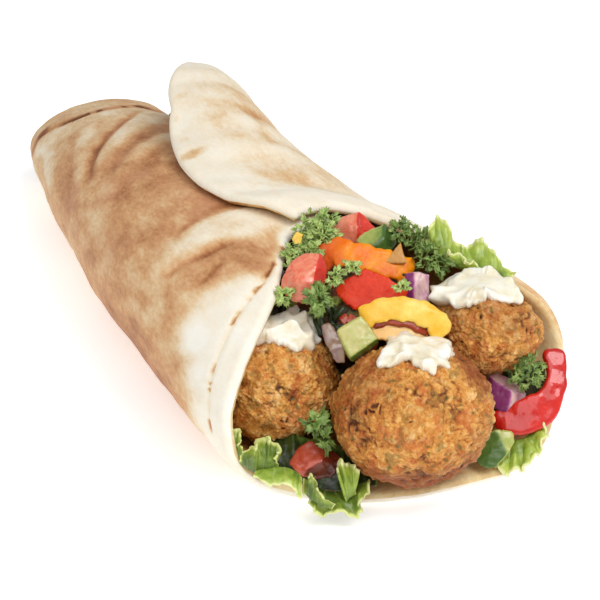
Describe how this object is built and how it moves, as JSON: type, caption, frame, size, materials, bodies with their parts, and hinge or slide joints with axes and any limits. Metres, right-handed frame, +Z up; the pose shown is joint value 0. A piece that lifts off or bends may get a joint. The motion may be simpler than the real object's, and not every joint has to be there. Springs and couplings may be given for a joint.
{
  "type": "falafel shawarma",
  "caption": "Flatbread rolled into a tapering wrap with its flap folded over the top, its open mouth full of fried falafel balls, chopped salad and white sauce.",
  "frame": {"origin": "under the middle of the roll, on the surface it rests on", "axes": "+Z up, -Y out of the open mouth, +Y towards the narrow tail"},
  "size_m": [0.096, 0.2262, 0.0575],
  "materials": {
    "flatbread": "soft baked dough, pale with toasted patches",
    "falafel": "coarse fried crumb",
    "salad": "packed chopped salad, moist",
    "sauce": "thick creamy sauce",
    "tomato": "wet cut tomato",
    "cucumber": "wet pale flesh with dark green skin",
    "onion": "translucent layers with purple skin",
    "lettuce": "crisp frilled leaf",
    "pepper_orange": "glossy cut pepper",
    "pepper_flat": "glossy cut pepper",
    "pepper_yellow": "glossy cut pepper",
    "pepper_red": "very glossy roasted pepper skin"
  },
  "bodies": {
    "root": {"flatbread": "flatbread", "falafel_centre": "falafel", "falafel_left": "falafel", "falafel_right": "falafel", "salad_filling": "salad", "sauce_centre": "sauce", "sauce_left": "sauce", "sauce_right": "sauce", "tomato_top": "tomato", "tomato_left": "tomato", "tomato_low": "tomato", "cucumber_dice": "cucumber", "cucumber_top": "cucumber", "cucumber_low": "cucumber", "onion_left": "onion", "onion_top": "onion", "onion_right": "onion", "pepper_orange": "pepper_orange", "pepper_flat": "pepper_flat", "pepper_yellow": "pepper_yellow", "pepper_red": "pepper_red", "lettuce_left": "lettuce", "lettuce_front": "lettuce", "lettuce_right": "lettuce", "lettuce_top": "lettuce"}
  },
  "joints": []
}
